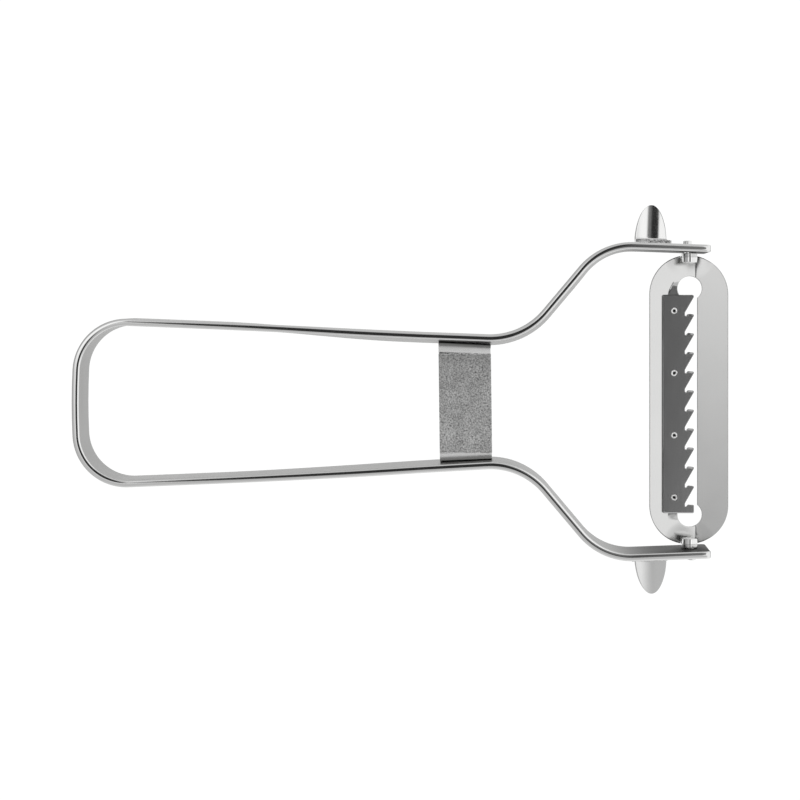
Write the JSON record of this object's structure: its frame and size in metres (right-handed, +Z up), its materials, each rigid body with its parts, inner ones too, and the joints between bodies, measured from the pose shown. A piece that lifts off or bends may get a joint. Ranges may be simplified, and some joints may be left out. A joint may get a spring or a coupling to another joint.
{
  "type": "vegetable peeler",
  "caption": "Julienne Y-peeler: a bent steel strip makes the loop handle and fork, a slotted blade with a toothed plate swivels between the arms, and eye gouges stand on their sides.",
  "frame": {"origin": "middle of the footprint, on the plane of the strip's lower edges, with the peeler lying flat", "axes": "+X from the handle's butt to the blade, +Y to the left arm, +Z up, square to the plane of the fork"},
  "size_m": [0.147, 0.0882, 0.012],
  "materials": {
    "strip_steel": "polished edges, satin faces",
    "brace_steel": "blasted plate, bright bends",
    "gouge_steel": "polished",
    "rivet_steel": "bright turned",
    "carrier_steel": "satin polished",
    "tooth_steel": "dark satin, hardened"
  },
  "bodies": {
    "handle": {"handle_strip": "strip_steel", "cross_brace": "brace_steel", "eye_gouge_left": "gouge_steel", "eye_gouge_right": "gouge_steel", "pivot_rivet_left": "rivet_steel", "pivot_rivet_right": "rivet_steel"},
    "swivel_head": {"blade_carrier": "carrier_steel", "julienne_blade": "tooth_steel", "blade_eyelet_1": "rivet_steel", "blade_eyelet_2": "rivet_steel", "blade_eyelet_3": "rivet_steel", "blade_eyelet_4": "rivet_steel"}
  },
  "joints": [
    {"name": "blade_swivel", "type": "hinge", "parent": "handle", "child": "swivel_head", "pos_m": [0.06454, 0, 0.006], "axis": [0, 1, 0], "continuous": true}
  ]
}
